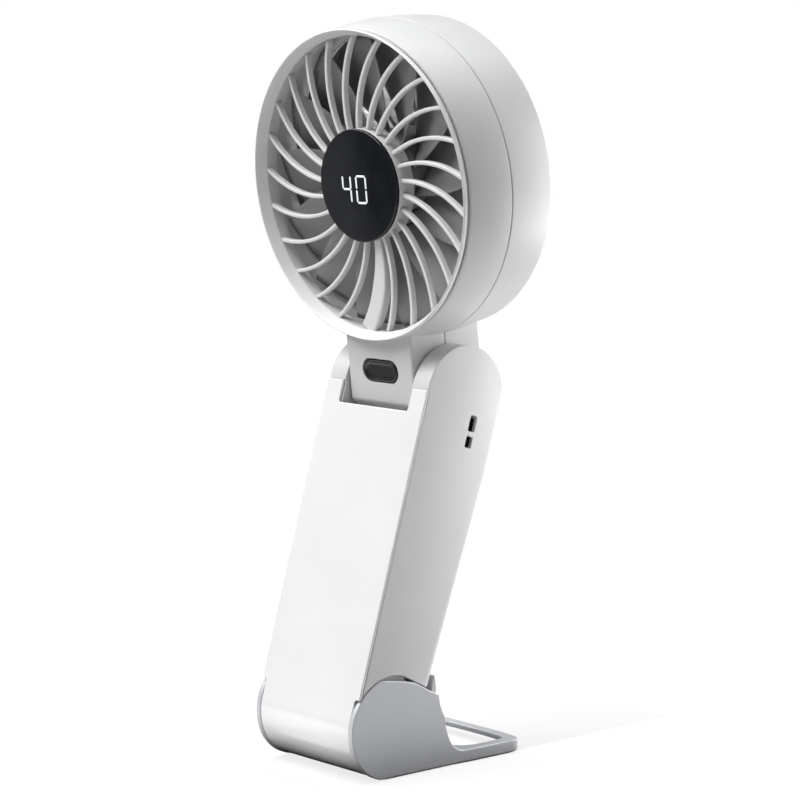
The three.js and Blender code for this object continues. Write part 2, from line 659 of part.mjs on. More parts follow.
function rearGrille() {
  const rings = [[41.8, 43.2], [34.6, 35.8], [25.4, 26.6]]
    .map(([a, b]) => turnedY(tube(a, b, REAR_FROM + 0.6, 33.1), 0, 0, REAR_SIDES));
  const hub = turnedY(rod(REAR_HUB_R, REAR_FROM, 33.1), 0, 0, MIDDLE);
  const bars = [];
  for (let i = 0; i < REAR_RIBS; i++) {
    const bar = new THREE.BoxGeometry(42.3 - 15.5, 6, 1.2).translate((42.3 + 15.5) / 2, 29.9, 0);
    bars.push(solid(bar.rotateY((i + 0.5) * 2 * Math.PI / REAR_RIBS)));
  }
  const shafts = motorScrews.map(([x, z]) => rodY(1.1, 25, 40, x, z, TINY));
  const sinks = motorScrews.map(([x, z]) => rodY(2.0, 31.7, 40, x, z, 12));
  return cut(join(hub, ...rings, ...bars), ...shafts, ...sinks);
}

place(head, 'front_housing', frontHousing(), shellWhite);
place(head, 'rear_housing', rearHousing(), shellWhite);
place(head, 'front_grille', frontGrille(), grilleWhite);
place(head, 'rear_grille', rearGrille(), grilleWhite);
place(head, 'display_lens',
  turnedY([[0, 1.1], [HUB_R - 0.4, 1.2], [HUB_R, 1.5], [HUB_R, LENS_BACK], [0, LENS_BACK]], 0, 0, MIDDLE),
  lensBlack);
place(head, 'display_board', turnedY(rod(13.8, 3.6, 5.0), 0, 0, 24), boardGreen);

neckScrews.forEach(([x, z], i) => {
  place(head, `neck_screw_${i + 1}`, panScrew(x, z, 24.3, 26.0, 10), steel);
});
for (const [side, sign] of SIDES) {
  const across = (points) => points.map(([r, x]) => [r, x * sign]);
  const bush = across([[2.75, 9.6], [5.4, 9.6], [5.4, 11.6], [4.0, 11.6], [4.0, 13.7], [2.75, 13.7]]);
  place(head, `hinge_bush_${side}`, turnedX(bush, HINGE_Y, HINGE_Z, SMALL), brass);
}

// ---------------------------------------------------------------- button

const BUTTON_TRAVEL = 0.8;
const BUTTON_FACE = neckFrontY - 0.25;
const SWITCH_Y = 9.1;

function powerButton() {
  const cap = prismY(stadium(14.6, 6.2, 0, BUTTON_Z), BUTTON_FACE, 6.4, 4);
  const flange = prismY(stadium(17.6, 8.9, 0, BUTTON_Z), neckFrontY + SKIN + GAP, 6.8, 3);
  return join(cap, flange, rodY(1.2, 6, SWITCH_Y - GAP - BUTTON_TRAVEL, 0, BUTTON_Z, TINY));
}

place(head, 'power_button', powerButton(), buttonBlack);
place(head, 'button_switch', join(
  box(-2.6, 2.6, SWITCH_Y + 0.6, 11.4, BUTTON_Z - 2.6, BUTTON_Z + 2.6),
  rodY(1.4, SWITCH_Y, 11, 0, BUTTON_Z, TINY)), ferrite);
place(head, 'button_board', box(-9, 9, 11.7, 12.9, -59.5, -52), boardGreen);

// ---------------------------------------------------------------- motor and impeller

const SHAFT_R = 1.5;
const BLADES = 13;
const IMPELLER_R = 41.8;
const IMPELLER_HUB_R = 14.5;

// One blade: a helical sheet from the hub to the tip, swept forward as it goes out.
function blade(turn) {
  const [across, along] = [4, 4];
  const point = (i, j, side) => {
    const r = IMPELLER_HUB_R - 0.6 + (IMPELLER_R - IMPELLER_HUB_R + 0.6) * i / across;
    const s = j / along;
    const angle = turn + 16 * i / across + 50 * (s - 0.5);
    const depth = 9.2 - 1.4 * i / across + 10.5 * s + 1.4 * Math.sin(Math.PI * s) + side * 0.6;
    const [x, z] = polar(r, angle);
    return new THREE.Vector3(x, depth, z);
  };
  const rings = [];
  for (let i = 0; i <= across; i++) {
    const ring = [];
    for (let j = 0; j <= along; j++) ring.push(point(i, j, -1));
    for (let j = along; j >= 0; j--) ring.push(point(i, j, 1));
    rings.push(ring);
  }
  return loft(rings);
}

function impeller() {
  const hub = turnedY([
    [SHAFT_R + GAP, 9.3], [12.4, 9.3], [IMPELLER_HUB_R, 11.4], [IMPELLER_HUB_R, 24],
    [13.4, 24], [13.4, 10.8], [SHAFT_R + GAP, 10.8],
  ], 0, 0, 28);
  const blades = Array.from({ length: BLADES }, (_, i) => blade(i * 360 / BLADES + 12));
  return join(hub, ...blades);
}

function motorStator() {
  const slots = [];
  for (let i = 0; i < 9; i++) {
    const slot = new THREE.BoxGeometry(3.6, 12, 1.0).translate(9.2, 18, 0);
    slots.push(solid(slot.rotateY(i * 2 * Math.PI / 9)));
  }
  return cut(turnedY(tube(5.9, 10.3, 14.6, 21.4), 0, 0, 18), ...slots);
}

function motorMount() {
  const holes = motorScrews.map(([x, z]) => rodY(SCREW_R + GAP, 20, 40, x, z, TINY));
  const body = turnedY([
    [4.3, 13.4], [5.6, 13.4], [5.6, 27.4], [13.8, 27.4], [13.8, REAR_FROM - GAP],
    [4.3, REAR_FROM - GAP],
  ], 0, 0, 24);
  return cut(body, ...holes);
}

place(head, 'motor_mount', motorMount(), trayGrey);
place(head, 'motor_stator', motorStator(), copper);
place(head, 'motor_board', turnedY(tube(6.0, 12.8, 24.6, 26.0), 0, 0, 24), boardGreen);
for (const [name, from] of [['motor_bearing_front', 13.8], ['motor_bearing_rear', 25.0]]) {
  place(head, name, turnedY(tube(SHAFT_R + GAP, 4.0, from, from + 3.2), 0, 0, SMALL), steel);
}
motorScrews.forEach(([x, z], i) => {
  place(head, `motor_screw_${i + 1}`, panScrew(x, z, 32.0, 32.9, 28.0), steel);
});

place(head, 'impeller', impeller(), impellerGrey);
place(head, 'rotor_can', turnedY([
  [SHAFT_R + GAP, 11.1], [12.2, 11.1], [13.1, 12.1], [13.1, 23.4], [12.3, 23.4], [12.3, 12.2],
  [SHAFT_R + GAP, 12.2],
], 0, 0, 24), steel);
place(head, 'rotor_magnet', turnedY(tube(10.9, 12.0, 13.6, 22.4), 0, 0, 24), ferrite);
place(head, 'motor_shaft', rodY(SHAFT_R, 9.7, 29.4, 0, 0), steel);

export default fan;
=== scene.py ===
"""A folding handheld fan: a round head on a hinge, a flat handle, and a base that is also a hanging loop.

Pieces are drawn in millimetres, each in the frame of its own group, and then moved into the shared frame:
  base    x across, y to the back, z up, from the lower pivot
  handle  x across, y from the front plate to the back, z up the handle, from the lower pivot
  head    x across, y from the front lip to the back, z up the head, from the centre of the lip
"""
import json
import math

import bmesh
import bpy
from mathutils import Matrix, Vector


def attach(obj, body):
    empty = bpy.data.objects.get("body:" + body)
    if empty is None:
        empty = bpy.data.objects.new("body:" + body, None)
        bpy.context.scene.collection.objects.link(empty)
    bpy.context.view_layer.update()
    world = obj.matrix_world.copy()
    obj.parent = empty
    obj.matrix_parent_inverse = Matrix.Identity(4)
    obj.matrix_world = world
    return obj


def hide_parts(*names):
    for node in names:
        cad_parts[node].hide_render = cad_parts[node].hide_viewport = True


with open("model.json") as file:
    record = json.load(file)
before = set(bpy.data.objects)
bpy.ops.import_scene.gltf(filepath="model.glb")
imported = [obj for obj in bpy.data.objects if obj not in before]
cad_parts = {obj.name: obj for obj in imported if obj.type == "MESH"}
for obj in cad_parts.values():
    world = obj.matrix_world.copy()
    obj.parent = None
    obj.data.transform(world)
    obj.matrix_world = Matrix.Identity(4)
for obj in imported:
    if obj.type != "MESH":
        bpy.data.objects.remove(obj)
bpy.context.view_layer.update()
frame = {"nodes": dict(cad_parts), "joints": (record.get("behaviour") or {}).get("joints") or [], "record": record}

# ---------------------------------------------------------------- sizes, millimetres and degrees

MM = 0.001
GAP = 0.3
LEAN = 16.0

HANDLE_HALF = 21.2
CHEEK_R = 14.8
BARREL_R = 14.5
BARREL_HALF = 19.1
FRONT = -14.5
PLATE_T = 0.9
BACK = 17.2
WALL = 2.0
TAPER_U = 78.0
NOTCH_U = 88.6
NOTCH_HALF = 14.8
LEDGE_U = 86.2
WRAP_END = 290.0
HINGE_U = 96.6
HINGE_M = 0.7
EAR_R = 14.8
EAR_IN = 14.3
NECK_SWEEP = 14.9
SEAM = 0.05  # between shells that close on each other
SHELL_FRONT = FRONT + PLATE_T + SEAM
SIDE_CLEAR = CHEEK_R + GAP

HINGE_Y = 16.4
HINGE_Z = -62.2
NECK_HALF = 13.8
NECK_FRONT = 3.5
NECK_BACK = 30.8
NECK_TOP = -41.0
NECK_ROUND = 13.0
NECK_EDGE = 14.2
BUTTON_Z = -54.0
LIP_R = 44.45
LIP_BACK = 1.4
HOUSING_FRONT = 2.9
HEAD_R = 46.16
PARTING = 17.0
HEAD_DEPTH = 33.4
DUCT_R = 43.5
SKIN = 1.8
HUB_R = 16.2
RIB_DEPTH = 3.2
RIB_PITCH = 14.4
RIB_SWEEP = 17.6
RIB_PHASE = 89.0
SPOKE_SLOT = 13

LOOP_Z = -CHEEK_R + 4.0
LOOP_BACK = 53.6
LOOP_HALF = 21.8
BAR_UNDER = LOOP_Z - 1.6
WEB_HALF = 17.8
PAD_TOP = -CHEEK_R + 1.0

ROUND = 160  # sides of a large turned piece
SMALL = 40

# ---------------------------------------------------------------- group frames

joints = {j["name"]: j for j in frame["joints"]}
pivot = Vector(joints["handle_fold"]["pos_m"])
head_centre = Vector(joints["impeller_spin"]["pos_m"])
blow = Vector(joints["impeller_spin"]["axis"])
head_tip = math.atan2(-blow.z, -blow.y)

to_metres = Matrix.Scale(MM, 4)
FRAMES = {
    "base": Matrix.Translation(pivot) @ to_metres,
    "handle": Matrix.Translation(pivot) @ Matrix.Rotation(math.radians(-LEAN), 4, "X") @ to_metres,
    "head": Matrix.Translation(head_centre) @ Matrix.Rotation(head_tip, 4, "X") @ to_metres,
}
GROUP_OF = {"base": "base", "handle": "handle", "head": "head", "rotor": "head", "button": "head"}

# ---------------------------------------------------------------- outlines


def arc(centre, radius, start, end, steps=24):
    """Points round a centre, from start to end degrees, both included."""
    turns = [math.radians(start + (end - start) * i / steps) for i in range(steps + 1)]
    return [(centre[0] + radius * math.cos(a), centre[1] + radius * math.sin(a)) for a in turns]


def bend(start, pull, end, steps=10):
    """A quadratic curve's points after its start."""
    points = []
    for i in range(1, steps + 1):
        t = i / steps
        weights = ((1 - t) ** 2, 2 * t * (1 - t), t * t)
        points.append(tuple(sum(w * p[k] for w, p in zip(weights, (start, pull, end))) for k in (0, 1)))
    return points


def rounded(corners, radii, steps=5):
    """A closed outline with an arc in each corner. radii is one radius, or one for each corner."""
    count = len(corners)
    if not hasattr(radii, "__len__"):
        radii = [radii] * count
    points = []
    for i, corner in enumerate(corners):
        here = Vector(corner)
        before = Vector(corners[i - 1]) - here
        after = Vector(corners[(i + 1) % count]) - here
        turn = before.angle(after)
        reach = radii[i] / math.tan(turn / 2) if radii[i] else 0
        reach = min(reach, 0.49 * before.length, 0.49 * after.length)
        if reach < 1e-4 or turn > math.pi - 1e-3:
            points.append(tuple(here))
            continue
        radius = reach * math.tan(turn / 2)
        middle = here + (before.normalized() + after.normalized()).normalized() * math.hypot(radius, reach)
        first = here + before.normalized() * reach - middle
        last = here + after.normalized() * reach - middle
        sweep = first.angle_signed(last)
        for k in range(steps + 1):
            a = -sweep * k / steps
            spun = Vector((first.x * math.cos(a) - first.y * math.sin(a),
                           first.x * math.sin(a) + first.y * math.cos(a)))
            points.append(tuple(middle + spun))
    return points


def rectangle(x0, x1, y0, y1, radius, steps=6):
    return rounded([(x0, y0), (x1, y0), (x1, y1), (x0, y1)], radius, steps)


def stadium(width, height, x, y, steps=16):
    """A slot outline with round ends, along whichever way is longer."""
    r = min(width, height) / 2
    dx, dy = width / 2 - r, height / 2 - r
    start = -90 if dx > dy else 0
    return (arc((x + dx, y + dy), r, start, start + 180, steps)
            + arc((x - dx, y - dy), r, start + 180, start + 360, steps))


# ---------------------------------------------------------------- solids


def solid(points, faces):
    data = bpy.data.meshes.new("solid")
    data.from_pydata([tuple(p) for p in points], [], faces)
    made = bmesh.new()
    made.from_mesh(data)
    bmesh.ops.remove_doubles(made, verts=made.verts, dist=1e-4)
    bmesh.ops.dissolve_degenerate(made, edges=made.edges, dist=1e-5)
    bmesh.ops.recalc_face_normals(made, faces=made.faces)
    made.to_mesh(data)
    made.free()
    body = bpy.data.objects.new("solid", data)
    bpy.context.scene.collection.objects.link(body)
    return body


def skin(rings, ends=True):
    """Joins rings of the same number of points, with a flat face on each end."""
    count = len(rings[0])
    faces = []
    for i in range(len(rings) - 1):
        for j in range(count):
            k = (j + 1) % count
            faces.append((i * count + j, i * count + k, (i + 1) * count + k, (i + 1) * count + j))
    if ends:
        faces.append(tuple(range(count)))
        faces.append(tuple(range((len(rings) - 1) * count, len(rings) * count)))
    return solid([p for ring in rings for p in ring], faces)


def prism(outline, low, high, along):
    """An outline drawn across an axis, swept along it: (y, z) for X, (x, z) for Y, (x, y) for Z."""
    place = {"X": lambda a, b, c: (c, a, b), "Y": lambda a, b, c: (a, c, b), "Z": lambda a, b, c: (a, b, c)}
    return skin([[place[along](a, b, c) for a, b in outline] for c in (low, high)])


def turned(profile, at=(0, 0), along="Y", sides=ROUND):
    """A closed profile of (radius, place along the axis) points, turned about an axis."""
    rings = []
    for i in range(sides):
        c, s = math.cos(2 * math.pi * i / sides), math.sin(2 * math.pi * i / sides)
        if along == "Y":
            rings.append([(at[0] + r * c, d, at[1] + r * s) for r, d in profile])
        else:
            rings.append([(d, at[0] + r * c, at[1] + r * s) for r, d in profile])
    return skin(rings + rings[:1], ends=False)


def rod(radius, low, high, at=(0, 0), along="Y", sides=SMALL):
    return turned([(0, low), (radius, low), (radius, high), (0, high)], at, along, sides)


def block(x0, x1, y0, y1, z0, z1):
    return prism([(x0, y0), (x1, y0), (x1, y1), (x0, y1)], z0, z1, "Z")


def settle(body):
    """Makes the modifiers' result the body's own mesh."""
    graph = bpy.context.evaluated_depsgraph_get()
    data = bpy.data.meshes.new_from_object(body.evaluated_get(graph))
    body.modifiers.clear()
    body.data = data
    return body


def combine(operation, body, *tools):
    for tool in tools:
        modifier = body.modifiers.new("combine", "BOOLEAN")
        modifier.operation = operation
        modifier.solver = "EXACT"
        modifier.object = tool
    settle(body)
    for tool in tools:
        bpy.data.objects.remove(tool)
    return body


def cut(body, *tools):
    return combine("DIFFERENCE", body, *tools)


def join(body, *tools):
    return combine("UNION", body, *tools)


def common(body, *tools):
    return combine("INTERSECT", body, *tools)


def gather(*bodies):
    """Puts several solids into one object without cutting them."""
    made = bmesh.new()
    for body in bodies:
        made.from_mesh(body.data)
        bpy.data.objects.remove(body)
    data = bpy.data.meshes.new("gathered")
    made.to_mesh(data)
    made.free()
    body = bpy.data.objects.new("gathered", data)
    bpy.context.scene.collection.objects.link(body)
    return body


def bevelled(body, width, segments=3, angle=30):
    modifier = body.modifiers.new("edges", "BEVEL")
    modifier.width = width
    modifier.segments = segments
    modifier.limit_method = "ANGLE"
    modifier.angle_limit = math.radians(angle)
    modifier.use_clamp_overlap = False
    modifier.miter_outer = "MITER_ARC"
    return body


def tidied(body):
    """Drops the needless edges that cuts leave on flat faces, and splits what is left into convex faces."""
    made = bmesh.new()
    made.from_mesh(body.data)
    bmesh.ops.remove_doubles(made, verts=made.verts, dist=0.004)
    bmesh.ops.dissolve_limit(
        made, angle_limit=math.radians(0.3), use_dissolve_boundaries=False,
        verts=made.verts, edges=made.edges, delimit={"NORMAL"})
    bmesh.ops.connect_verts_concave(made, faces=made.faces)
    made.to_mesh(body.data)
    made.free()
    return body


def piece(name, body, rides, look, replaces=(), edge=0.0, segments=3, angle=30):
    """Names a finished solid, rounds its edges, moves it into the shared frame and lets it ride."""
    if edge:
        settle(bevelled(tidied(body), edge, segments, angle))
    body.name = name
    body.data.name = name
    body.data.transform(FRAMES[GROUP_OF[rides]])
    body.data.shade_smooth()
    modifier = body.modifiers.new("normals", "WEIGHTED_NORMAL")
    modifier.keep_sharp = True
    body.data.materials.clear()
    body.data.materials.append(look)
    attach(body, rides)
    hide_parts(*(replaces or [name.removesuffix("_form")]))


# ---------------------------------------------------------------- materials


NOISE_LOW, NOISE_HIGH = 0.3, 0.7  # most of a noise texture's values lie between these


class Look:
    """A node material, built step by step."""

    def __init__(self, name, **fixed):
        self.material = bpy.data.materials.new(name)
        self.material.use_nodes = True
        self.tree = self.material.node_tree
        self.shader = self.tree.nodes["Principled BSDF"]
        self.place = self.node("ShaderNodeTexCoord").outputs["Object"]
        self.normal = None
        for socket, value in fixed.items():
            self.shader.inputs[socket.replace("_", " ")].default_value = value

    def node(self, kind, **settings):
        made = self.tree.nodes.new(kind)
        for key, value in settings.items():
            setattr(made, key, value)
        return made

    def link(self, source, target):
        self.tree.links.new(source, target)

    def noise(self, size, detail=3.0, stretch=None):
        """Noise whose features are about size millimetres across."""
        made = self.node("ShaderNodeTexNoise")
        made.inputs["Scale"].default_value = 1.0 / (size * MM)
        made.inputs["Detail"].default_value = detail
        source = self.place
        if stretch:
            mapping = self.node("ShaderNodeMapping")
            mapping.inputs["Scale"].default_value = stretch
            self.link(source, mapping.inputs["Vector"])
            source = mapping.outputs["Vector"]
        self.link(source, made.inputs["Vector"])
        return made.outputs["Fac"]

    def ranged(self, value, low, high, start=NOISE_LOW, end=NOISE_HIGH):
        """Maps a value of start to low and one of end to high."""
        made = self.node("ShaderNodeMapRange")
        self.link(value, made.inputs["Value"])
        for socket, number in (("From Min", start), ("From Max", end), ("To Min", low), ("To Max", high)):
            made.inputs[socket].default_value = number
        return made.outputs["Result"]

    def mixed(self, share, first, second):
        made = self.node("ShaderNodeMixShader")
        self.link(share, made.inputs["Fac"])
        self.link(first, made.inputs[1])
        self.link(second, made.inputs[2])
        return made.outputs["Shader"]

    def colours(self, value, first, second):
        ramp = self.node("ShaderNodeValToRGB")
        self.link(value, ramp.inputs["Fac"])
        places = (NOISE_LOW, NOISE_HIGH)
        for element, colour, place in zip(ramp.color_ramp.elements, (first, second), places):
            element.color = (*colour, 1)
            element.position = place
        self.link(ramp.outputs["Color"], self.shader.inputs["Base Color"])

    def roughness(self, value, low, high):
        self.link(self.ranged(value, low, high), self.shader.inputs["Roughness"])

    def bump(self, value, height, strength=1.0):
        """Raises the surface by height millimetres where value is 1."""
        made = self.node("ShaderNodeBump")
        made.inputs["Distance"].default_value = height * MM
        made.inputs["Strength"].default_value = strength
        self.link(value, made.inputs["Height"])
        if self.normal:
            self.link(self.normal, made.inputs["Normal"])
        self.normal = made.outputs["Normal"]
        self.link(self.normal, self.shader.inputs["Normal"])


def moulded(name, first, second, rough, grain=0.02, patchy=0.05, **fixed):
    """Moulded plastic: a fine spark-eroded grain, a slow drift of colour and a little uneven gloss."""
    look = Look(name, **fixed)
    look.colours(look.noise(22.0, 2.0), first, second)
    look.roughness(look.noise(6.0, 4.0), rough - patchy, rough + patchy)
    look.bump(look.noise(9.0, 1.0), 0.02, 0.25)
    look.bump(look.noise(0.22, 2.0), grain)
    return look.material


def turned_metal(name, first, second, rough, **fixed):
    """Plated or turned metal with fine tool marks."""
    look = Look(name, Metallic=1.0, **fixed)
    look.colours(look.noise(1.2, 3.0), first, second)
    look.roughness(look.noise(0.5, 2.0), rough - 0.08, rough + 0.08)
    look.bump(look.noise(0.3, 2.0, stretch=(6, 1, 1)), 0.004)
    return look.material


def circuit_board():
    """Solder mask over copper tracks, with lighter bare pads."""
    look = Look("circuit_board", Coat_Weight=0.4)
    tracks = look.node("ShaderNodeTexBrick")
    tracks.inputs["Scale"].default_value = 260.0
    tracks.inputs["Mortar Size"].default_value = 0.03
    tracks.inputs["Color1"].default_value = (0.012, 0.09, 0.04, 1)
    tracks.inputs["Color2"].default_value = (0.018, 0.12, 0.05, 1)
    tracks.inputs["Mortar"].default_value = (0.03, 0.2, 0.08, 1)
    look.link(look.place, tracks.inputs["Vector"])
    look.link(tracks.outputs["Color"], look.shader.inputs["Base Color"])
    look.roughness(look.noise(1.0), 0.3, 0.5)
    look.bump(tracks.outputs["Fac"], 0.03)
    return look.material


def pouch_foil():
    """Crinkled laminated foil."""
    look = Look("pouch_foil", Metallic=0.7)
    look.colours(look.noise(5.0), (0.42, 0.42, 0.44), (0.58, 0.58, 0.6))
    look.roughness(look.noise(2.0), 0.25, 0.45)
    look.bump(look.noise(3.0, 5.0), 0.15)
    return look.material


def windings():
    """Enamelled copper wire in close turns."""
    look = Look("windings", Metallic=0.9, Coat_Weight=0.5)
    wire = look.node("ShaderNodeTexWave", bands_direction="Y")
    wire.inputs["Scale"].default_value = 700.0
    wire.inputs["Distortion"].default_value = 1.0
    look.link(look.place, wire.inputs["Vector"])
    look.colours(wire.outputs["Fac"], (0.28, 0.09, 0.03), (0.6, 0.26, 0.1))
    look.roughness(look.noise(0.8), 0.25, 0.45)
    look.bump(wire.outputs["Fac"], 0.08)
    return look.material


def rubber():
    look = Look("rubber", Specular_IOR_Level=0.3)
    look.colours(look.noise(4.0), (0.010, 0.010, 0.011), (0.022, 0.022, 0.023))
    look.roughness(look.noise(2.0), 0.75, 0.92)
    look.bump(look.noise(0.15, 3.0), 0.03)
    return look.material


def lit_segments():
    """The display's lit segments, seen through the dark lens."""
    look = Look("lit_segments", Emission_Strength=0.42, Emission_Color=(0.86, 0.9, 0.95, 1))
    look.colours(look.noise(2.0), (0.62, 0.64, 0.67), (0.7, 0.72, 0.74))
    look.roughness(look.noise(1.0), 0.3, 0.4)
    return look.material


SHELL = moulded("shell_white", (0.63, 0.635, 0.64), (0.66, 0.66, 0.66), 0.40,
                Coat_Weight=0.15, Coat_Roughness=0.3)
SATIN = moulded("satin_white", (0.54, 0.55, 0.57), (0.57, 0.58, 0.60), 0.42, grain=0.004, patchy=0.01,
                Metallic=0.15, Coat_Weight=0.15, Coat_Roughness=0.3)
PLATE = moulded("plate_white", (0.80, 0.80, 0.80), (0.83, 0.83, 0.83), 0.20, grain=0.002,
                Coat_Weight=0.8, Coat_Roughness=0.12)
GRILLE = moulded("grille_white", (0.71, 0.71, 0.71), (0.75, 0.75, 0.75), 0.36, grain=0.012, Coat_Weight=0.2)
BLADES_GREY = moulded("impeller_grey", (0.25, 0.25, 0.255), (0.29, 0.29, 0.295), 0.42, grain=0.01)
LENS = moulded("lens_black", (0.008, 0.009, 0.011), (0.012, 0.013, 0.016), 0.10, grain=0.0005,
               Specular_IOR_Level=0.35)
BUTTON = moulded("button_black", (0.007, 0.007, 0.009), (0.011, 0.011, 0.013), 0.24, grain=0.01)
FRAME_GREY = moulded("frame_grey", (0.36, 0.36, 0.36), (0.42, 0.42, 0.42), 0.5)
BLACK_PART = moulded("moulded_black", (0.014, 0.014, 0.015), (0.022, 0.022, 0.023), 0.5)
STEEL = turned_metal("steel", (0.50, 0.51, 0.53), (0.60, 0.61, 0.63), 0.28)
BRASS = turned_metal("brass", (0.42, 0.28, 0.10), (0.55, 0.38, 0.15), 0.3)
RUBBER = rubber()
BOARD = circuit_board()
FOIL = pouch_foil()
COPPER = windings()
SEGMENTS = lit_segments()

LOOK_OF_SLOT = {
    "shell_white": SHELL, "plate_white": PLATE, "grille_white": GRILLE, "impeller_grey": BLADES_GREY,
    "lens_black": LENS, "button_black": BUTTON, "rubber_black": RUBBER, "steel": STEEL, "brass": BRASS,
    "copper": COPPER, "circuit_board": BOARD, "foil": FOIL, "frame_grey": FRAME_GREY,
    "moulded_black": BLACK_PART,
}


def paint_cad_nodes():
    """Every CAD node that stays gets its slot's finish."""
    for entry in frame["record"]["subparts"]:
        data = frame["nodes"][entry["node"]].data
        data.materials.clear()
        data.materials.append(LOOK_OF_SLOT[entry["material_slot"]])


# ---------------------------------------------------------------- base


DISC_SQUEEZE = 0.9937  # keeps the disc's smooth front inside the CAD disc's flats


def bracket_side():
    """Side outline: disc in front, the cheek's rear edge, then the loop along the floor."""
    disc = [(max(y, DISC_SQUEEZE * y), z) for y, z in arc((0, 0), CHEEK_R, 105, 270, 64)]
    return [
        (47.8, -CHEEK_R),
        *bend((47.8, -CHEEK_R), (51.2, 0.3 - CHEEK_R), (LOOP_BACK - 0.2, BAR_UNDER)),
        (LOOP_BACK, BAR_UNDER + 0.5), (LOOP_BACK - 0.5, LOOP_Z), (29.5, LOOP_Z),
        *bend((29.5, LOOP_Z), (22.2, LOOP_Z + 0.4), (20.9, 0.4)),
        *bend((20.9, 0.4), (18.9, 3.6), (18.65, 7.1)),
        (15.4, 8.6), (9.2, 11.9),
        *bend((9.2, 11.9), (5.2, 12.9), (-0.1, 13.7)),
        *disc,
    ]


def stop_lip():
    """Side outline of the web's upper part, which stops the handle."""
    return rounded(
        [(14.6, 3.0), (18.2, 6.9), (18.45, 7.45), (19.4, 12.0), (19.9, 12.0), (20.7, 8.0), (20.3, 4.0),
         (20.9, 0.4), (18.0, -2.0)], [0, 0.3, 0.3, 0.2, 0.2, 2.0, 2.0, 0, 0], 4)


def bracket_plan(inset):
    """Plan outline: parallel cheeks, and a loop with a bowed rear bar."""
    half, wide, back = HANDLE_HALF - inset, LOOP_HALF - inset, LOOP_BACK - inset
    right = [
        (half, -20), (half, 24), (wide, back - 5.4),
        *bend((wide, back - 5.4), (wide, back - 1.4), (17, back - 1.0)),
        *bend((17, back - 1.0), (8.5, back - 0.02), (0, back), 6),
    ]
    left = [(-x, y) for x, y in reversed(right[:-1])]
    return right + left


def loop_opening():
    right = [
        (9, 29.2),
        *bend((9, 29.2), (17.4, 29.8), (17.8, 37)),
        (17.8, 45.6),
        *bend((17.8, 45.6), (17.8, 48.9), (14, 49.3), 8),
        *bend((14, 49.3), (7, 49.84), (0, 49.85), 6),
    ]
    left = [(-x, y) for x, y in reversed(right[:-1])]
    return right + left


PADS = {
    "front": (-14, 14, 15.6, 27.2, 2),
    "left": (-20.2, -18.6, 32, 45, 0.7),
    "right": (18.6, 20.2, 32, 45, 0.7),
}


def base_bracket():
    plan = prism(bracket_plan(0), -30, 30, "Z")
    body = common(prism(bracket_side(), -LOOP_HALF - 1, LOOP_HALF + 1, "X"), plan)
    inside = BARREL_HALF + GAP
    step = cut(block(-40, 40, -30, 70, -20, 0.5 - CHEEK_R), prism(bracket_plan(0.8), -30, 30, "Z"))
    loop = cut(body, prism(loop_opening(), -21, 21, "Z"))
    loop = cut(loop, block(-WEB_HALF, WEB_HALF, 46, 60, -20, BAR_UNDER))
    return cut(
        join(loop, prism(stop_lip(), -WEB_HALF, WEB_HALF, "X")),
        rod(BARREL_R + 0.6, -inside, inside, along="X", sides=ROUND),
        block(-inside, inside, -20, 7, -20, 20),
        step,
        *[prism(rectangle(x0 - GAP, x1 + GAP, y0 - GAP, y1 + GAP, r + GAP), -20, PAD_TOP + GAP, "Z")
          for x0, x1, y0, y1, r in PADS.values()])


def make_base():
    piece("base_bracket_form", base_bracket(), "base", SATIN, edge=0.35)
    for name, plan in PADS.items():
        pad = prism(rectangle(*plan), -CHEEK_R, PAD_TOP, "Z")
        piece(f"base_pad_{name}_form", pad, "base", RUBBER, edge=0.2)


# ---------------------------------------------------------------- handle


CROWN_FROM = -9.0  # the sides draw in behind this
CROWN = 1.5
BACK_TAPER = 0.035  # how fast the back draws in below TAPER_U
CORNER_TAPER = 0.04  # how fast its corners open there
USB_U = 23
NICK = (19.6, 30.0)  # across, where the lower front corners are nicked
SHOULDER_U = HINGE_U - 1.3  # where the ears rise from the front
EYE = (5.05, 7.75, 82.65, 92.05)  # the lanyard eye's mouth: front, back, foot and top
EYE_FLOOR = 16.4
EYE_ROOM = (EYE[0], 10.4, 83.0, 91.7)  # wider room behind its bar


def handle_back(u):
    return BACK - BACK_TAPER * max(0, TAPER_U - u)


def lower_nicks(front, back, low, high):
    return [block(*sorted((NICK[0] * sign, NICK[1] * sign)), front, back, low, high) for sign in (-1, 1)]


def handle_section(u, inset):
    """A level section of the handle: square in front, drawn in at the sides, round at the back corners."""
    half = HANDLE_HALF - inset
    back = handle_back(u) - inset
    r = max(1.9 + CORNER_TAPER * max(0, TAPER_U - u) - inset, 0.5)
    end = back - r
    side = [(half, -20.0)]
    for i in range(13):
        t = i / 12
        side.append((half - CROWN * t**2, CROWN_FROM + (end - CROWN_FROM) * t))
    tilt = math.degrees(math.atan2(2 * CROWN, end - CROWN_FROM))
    x, y = side[-1]
    middle = (x - r * math.cos(math.radians(tilt)), y - r * math.sin(math.radians(tilt)))
    outline = side + arc(middle, r, tilt, 90, 10)[1:]
    outline += [(-a, b) for a, b in reversed(outline)]
    return [(a, b, u) for a, b in outline]


